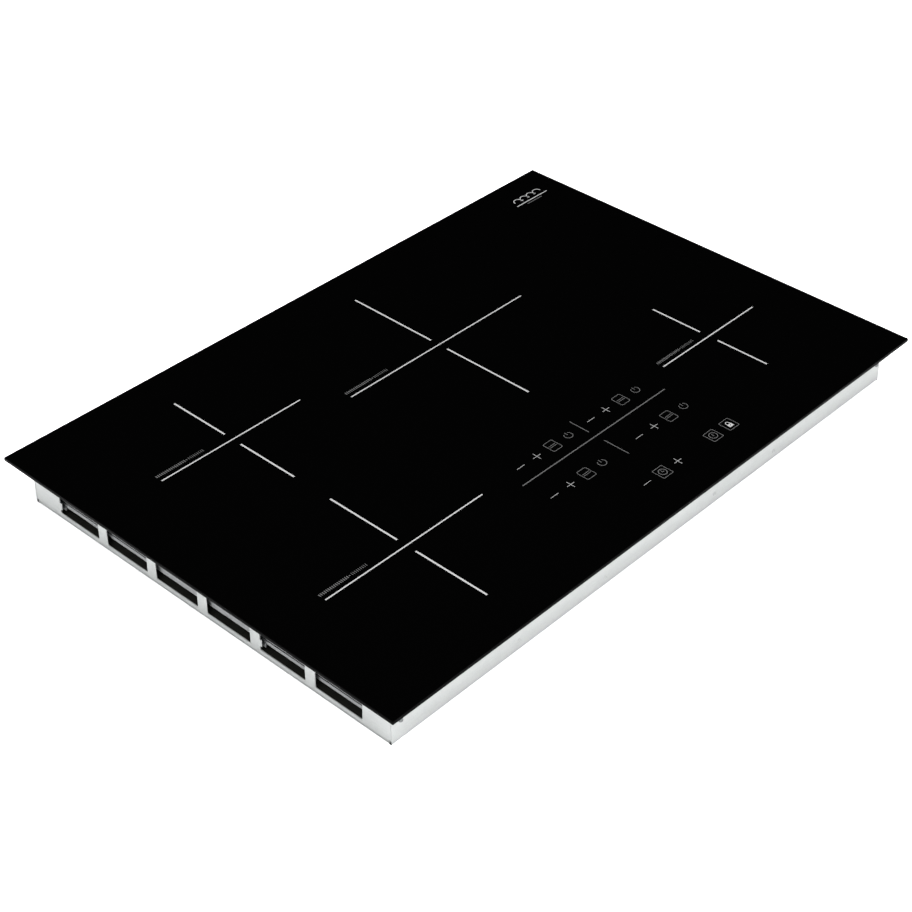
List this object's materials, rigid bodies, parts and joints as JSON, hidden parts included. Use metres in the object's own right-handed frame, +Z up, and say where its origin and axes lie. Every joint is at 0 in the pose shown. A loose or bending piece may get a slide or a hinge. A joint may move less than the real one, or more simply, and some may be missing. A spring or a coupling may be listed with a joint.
{
  "type": "induction cooktop",
  "caption": "Flush-fit electric induction cooktop: black glass plate with printed cooking zones and touch panel over a shallow sheet-metal case with side air vents.",
  "frame": {"origin": "centre of the case's underside, in the plane that it rests on", "axes": "+X to the user's right along the long side, +Y to the back, +Z up through the glass"},
  "size_m": [0.77, 0.52, 0.054],
  "materials": {
    "glass_black": "polished black ceramic glass",
    "zinc_steel": "bare zinc-coated steel sheet, satin",
    "aluminium_sheet": "mill finish",
    "screw_steel": "dark zinc-plated",
    "foam": "closed-cell foam tape",
    "silicone": "cured silicone",
    "black_plastic": "moulded, fine texture",
    "white_plastic": "moulded, satin",
    "board_green": "solder mask",
    "copper_wire": "enamelled copper wire, brown",
    "mica": "pressed mica sheet",
    "film_blue": "epoxy dipped",
    "ribbon_grey": "ribbed flat cable jacket",
    "print_enamel": "fired enamel print on the glass",
    "ferrite": "sintered ferrite",
    "tin_plate": "tin-plated metal"
  },
  "bodies": {
    "chassis": {"base_pan": "zinc_steel", "vent_panel_left": "zinc_steel", "side_panel_right": "zinc_steel", "glass_frame": "zinc_steel", "adhesive_bead": "silicone", "glass_gasket": "foam", "glass_top": "glass_black", "case_screw_front_left": "screw_steel", "case_screw_front_right": "screw_steel", "case_screw_rear_left": "screw_steel", "case_screw_rear_right": "screw_steel", "cable_gland": "black_plastic", "gland_nut": "black_plastic", "filter_tray": "black_plastic", "control_holder": "black_plastic", "terminal_block": "white_plastic", "display_guide": "white_plastic", "filter_board": "board_green", "control_board": "board_green", "filter_choke": "copper_wire", "filter_capacitor": "film_blue", "electronics_tray_rear": "black_plastic", "blower_housing_rear": "black_plastic", "power_board_rear": "board_green", "heatsink_rear": "aluminium_sheet", "capacitor_bank_rear": "film_blue", "blower_bearing_rear": "screw_steel", "blower_stator_rear": "copper_wire", "electronics_tray_front": "black_plastic", "blower_housing_front": "black_plastic", "power_board_front": "board_green", "heatsink_front": "aluminium_sheet", "capacitor_bank_front": "film_blue", "blower_bearing_front": "screw_steel", "blower_stator_front": "copper_wire", "coil_tray_left": "aluminium_sheet", "coil_tray_right": "aluminium_sheet", "coil_carrier_rear_center": "black_plastic", "coil_winding_rear_center": "copper_wire", "coil_mica_rear_center": "mica", "coil_sensor_rear_center": "white_plastic", "coil_carrier_rear_left": "black_plastic", "coil_winding_rear_left": "copper_wire", "coil_mica_rear_left": "mica", "coil_sensor_rear_left": "white_plastic", "coil_carrier_front_left": "black_plastic", "coil_winding_front_left": "copper_wire", "coil_mica_front_left": "mica", "coil_sensor_front_left": "white_plastic", "coil_carrier_front_right": "black_plastic", "coil_winding_front_right": "copper_wire", "coil_mica_front_right": "mica", "coil_sensor_front_right": "white_plastic", "ribbon_cable": "ribbon_grey"},
    "fan_wheel_rear": {"impeller_rear": "black_plastic", "blower_shaft_rear": "screw_steel"},
    "fan_wheel_front": {"impeller_front": "black_plastic", "blower_shaft_front": "screw_steel"}
  },
  "joints": [
    {"name": "fan_spin_rear", "type": "hinge", "parent": "chassis", "child": "fan_wheel_rear", "pos_m": [0.04, 0.115, 0.0155], "axis": [0, 0, 1], "continuous": true},
    {"name": "fan_spin_front", "type": "hinge", "parent": "chassis", "child": "fan_wheel_front", "pos_m": [0.04, -0.115, 0.0155], "axis": [0, 0, 1], "continuous": true}
  ]
}
